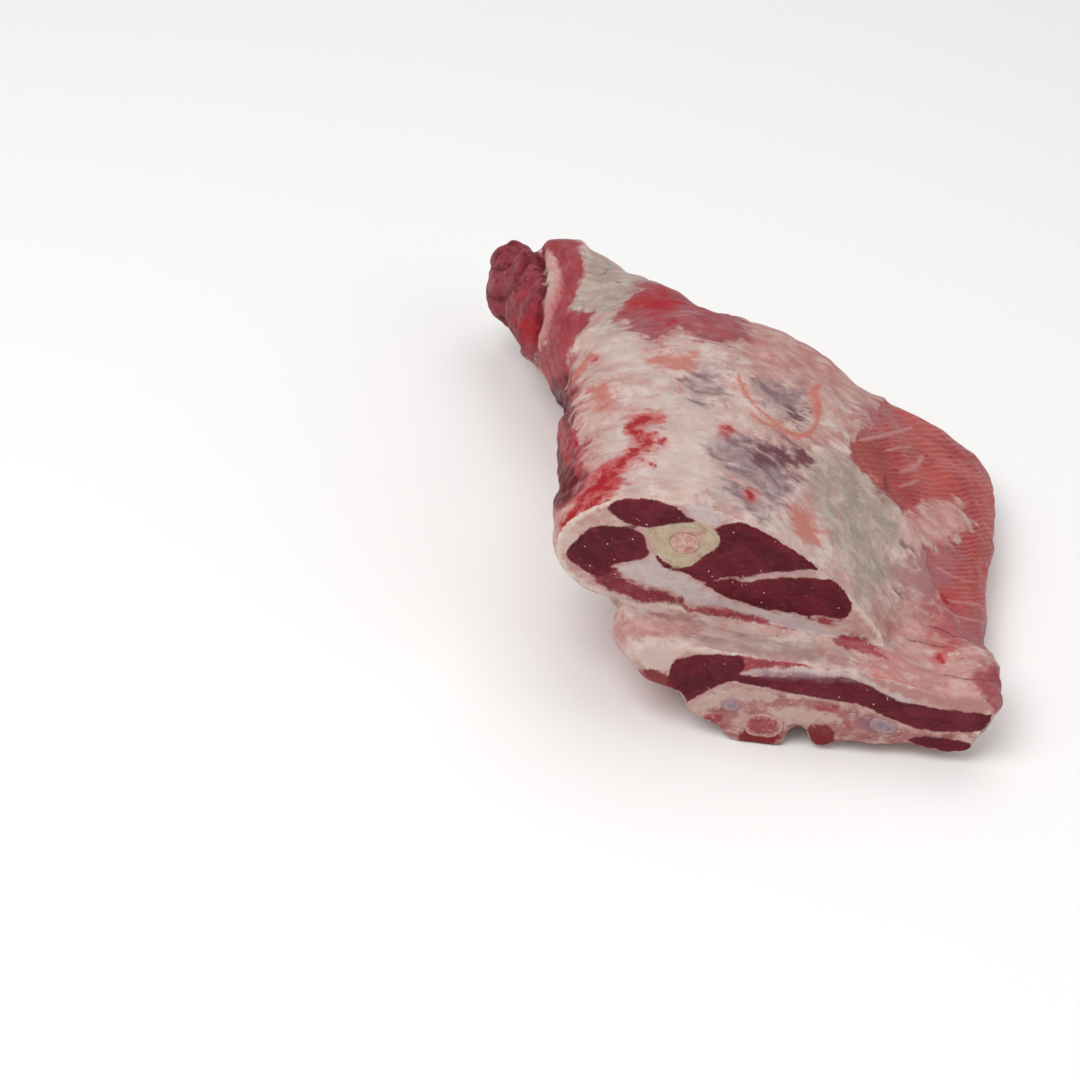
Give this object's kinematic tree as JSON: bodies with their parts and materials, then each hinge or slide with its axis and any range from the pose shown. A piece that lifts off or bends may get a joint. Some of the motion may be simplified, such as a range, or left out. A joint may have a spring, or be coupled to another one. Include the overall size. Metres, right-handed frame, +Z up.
{
  "type": "raw mutton shoulder",
  "caption": "Raw bone-in mutton shoulder: a sawn arm with its round bone over a slab of breast, and the shank bending away behind.",
  "frame": {"origin": "middle of the underside, at the centre of the bounding box's foot", "axes": "+Z up, the shoulder lying on its rib side; -Y out of the two sawn faces; +Y towards the shank; +X towards the thin edge of the blade"},
  "size_m": [0.2628, 0.3244, 0.1138],
  "materials": {
    "meat": "raw red lean under creamy white fat, moist satin",
    "humerus": "sawn bone, cream, fine saw dust",
    "marrow": "pink marrow, moist",
    "rib": "sawn rib, red spongy middle in a pale rim",
    "left_cartilage": "bluish cartilage, glossy",
    "right_cartilage": "bluish cartilage, glossy"
  },
  "bodies": {
    "root": {"meat": "meat", "humerus": "humerus", "marrow": "marrow", "rib": "rib", "left_cartilage": "left_cartilage", "right_cartilage": "right_cartilage"}
  },
  "joints": []
}
